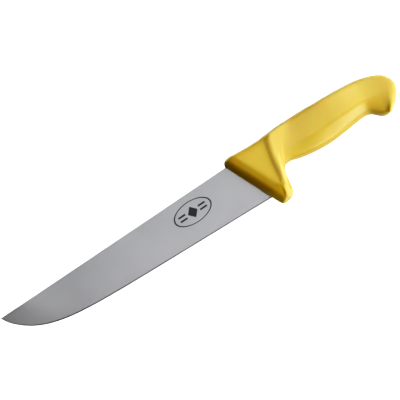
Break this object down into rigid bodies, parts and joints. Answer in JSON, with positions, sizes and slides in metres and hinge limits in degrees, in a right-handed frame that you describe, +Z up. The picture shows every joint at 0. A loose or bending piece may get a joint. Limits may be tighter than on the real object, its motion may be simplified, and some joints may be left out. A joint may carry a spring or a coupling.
{
  "type": "butcher knife",
  "caption": "Straight-backed butcher's knife with a wide flat-ground steel blade, a slanted moulded finger guard and a yellow soft-grip handle with a flared butt.",
  "frame": {"origin": "bottom centre of the bounding box of the knife lying on its side, so the floor is at Z = 0", "axes": "+X from the tip towards the butt, +Y towards the spine, +Z up through the thickness, from one side face of the handle to the other"},
  "size_m": [0.3416, 0.0522, 0.0193],
  "materials": {
    "blade_steel": "fine lengthwise satin grind, ground edge bevel",
    "core_yellow": "hard moulded polypropylene, satin to semi-gloss",
    "sleeve_yellow": "soft moulded elastomer, satin"
  },
  "bodies": {
    "root": {"blade": "blade_steel", "handle_core": "core_yellow", "grip_sleeve": "sleeve_yellow"}
  },
  "joints": []
}
